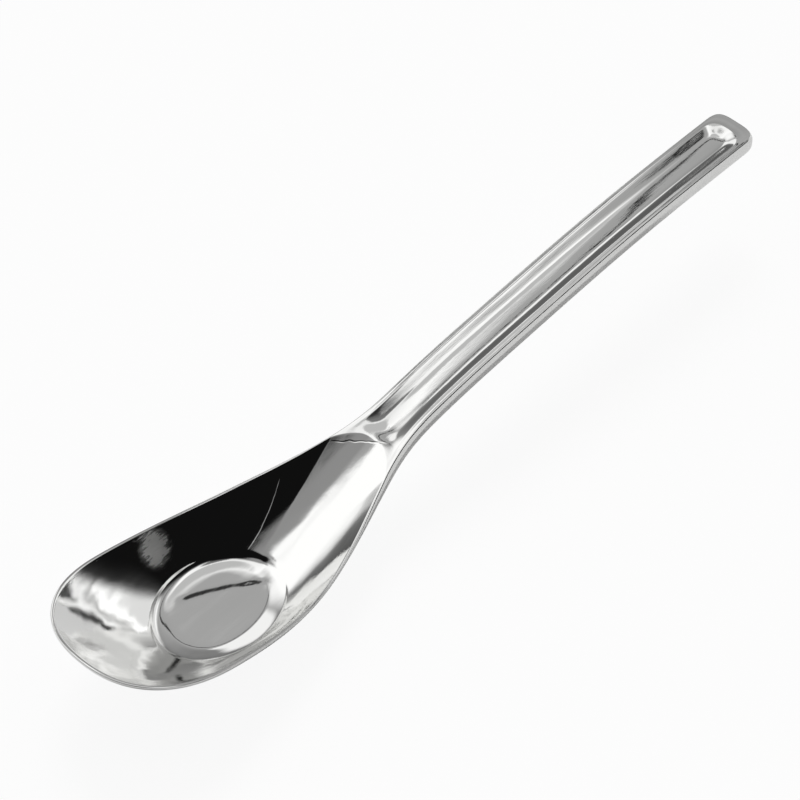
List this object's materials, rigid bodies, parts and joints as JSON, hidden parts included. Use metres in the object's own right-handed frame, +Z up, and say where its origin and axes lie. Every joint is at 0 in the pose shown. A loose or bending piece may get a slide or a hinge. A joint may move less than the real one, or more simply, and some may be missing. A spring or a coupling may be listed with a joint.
{
  "type": "soup spoon",
  "caption": "Pressed steel soup spoon with a deep bowl, a flat oval foot and a narrow hollow handle with a trough along its face.",
  "frame": {"origin": "middle of the oval foot's lower face, on the table", "axes": "+X along the spoon to the handle's tip, +Y to the left of someone holding it by the handle's tip, +Z up out of the bowl"},
  "size_m": [0.1964, 0.0388, 0.023],
  "materials": {
    "polished_steel": "mirror-polished stainless steel",
    "cover_steel": "polished stainless steel",
    "weld_steel": "dressed and polished weld"
  },
  "bodies": {
    "root": {"front_pressing": "polished_steel", "back_cover": "cover_steel", "seam_bead": "weld_steel"}
  },
  "joints": []
}
